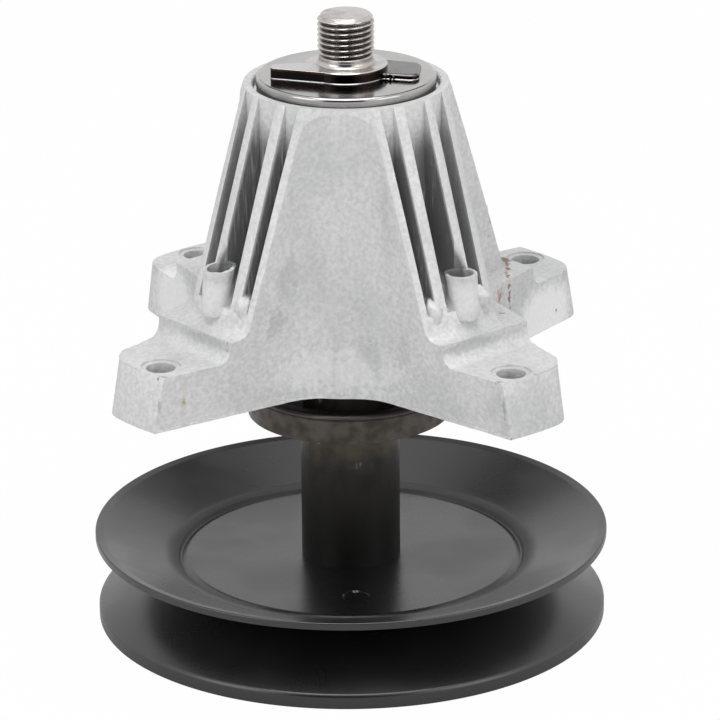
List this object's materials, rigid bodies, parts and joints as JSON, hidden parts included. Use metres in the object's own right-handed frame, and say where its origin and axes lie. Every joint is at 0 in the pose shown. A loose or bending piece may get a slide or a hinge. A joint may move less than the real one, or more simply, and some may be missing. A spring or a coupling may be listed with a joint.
{
  "type": "mower deck spindle",
  "caption": "Blade spindle of a lawn mower deck: a steel shaft in sealed ball bearings in a ribbed cast housing with bolt ears, driven by a pressed V-belt pulley.",
  "frame": {"origin": "spindle axis, in the plane of the pulley's lower rim, on which the spindle stands", "axes": "+Z along the spindle axis towards the blade thread, -Y towards the smooth front panel of the housing"},
  "size_m": [0.132, 0.132, 0.16],
  "materials": {
    "cast_aluminium": "as-cast, satin, with light stains",
    "shaft_steel": "turned, with a darker forged blade seat",
    "shield_steel": "turned, bright",
    "cup_steel": "dark oxide, dull",
    "black_oxide_steel": "black oxide, lightly scratched",
    "pulley_paint": "black, semi-gloss",
    "nut_steel": "zinc plated",
    "bearing_steel": "ground",
    "cage_steel": "pressed",
    "seal_rubber": "matte black"
  },
  "bodies": {
    "housing": {"spindle_housing": "cast_aluminium", "blade_bearing_outer_ring": "bearing_steel", "blade_bearing_lower_seal": "seal_rubber", "blade_bearing_upper_seal": "seal_rubber", "pulley_bearing_outer_ring": "bearing_steel", "pulley_bearing_lower_seal": "seal_rubber", "pulley_bearing_upper_seal": "seal_rubber"},
    "rotor": {"spindle_shaft": "shaft_steel", "blade_side_shield": "shield_steel", "bearing_spacer_tube": "shaft_steel", "pulley_side_shield": "cup_steel", "pulley_spacer_sleeve": "black_oxide_steel", "pulley_upper_half": "pulley_paint", "pulley_lower_half": "pulley_paint", "pulley_nut": "nut_steel", "blade_bearing_inner_ring": "bearing_steel", "pulley_bearing_inner_ring": "bearing_steel"},
    "blade_bearing_cage": {"blade_bearing_balls": "bearing_steel", "blade_bearing_cage": "cage_steel"},
    "pulley_bearing_cage": {"pulley_bearing_balls": "bearing_steel", "pulley_bearing_cage": "cage_steel"}
  },
  "joints": [
    {"name": "spindle_spin", "type": "hinge", "parent": "housing", "child": "rotor", "pos_m": [0, 0, 0.1], "axis": [0, 0, 1], "continuous": true},
    {"name": "blade_cage_spin", "type": "hinge", "parent": "housing", "child": "blade_bearing_cage", "pos_m": [0, 0, 0.134], "axis": [0, 0, 1], "continuous": true},
    {"name": "pulley_cage_spin", "type": "hinge", "parent": "housing", "child": "pulley_bearing_cage", "pos_m": [0, 0, 0.076], "axis": [0, 0, 1], "continuous": true}
  ],
  "couplings": [
    {"joint": "blade_cage_spin", "follows": "spindle_spin", "ratio": 0.38149},
    {"joint": "pulley_cage_spin", "follows": "spindle_spin", "ratio": 0.38149}
  ]
}
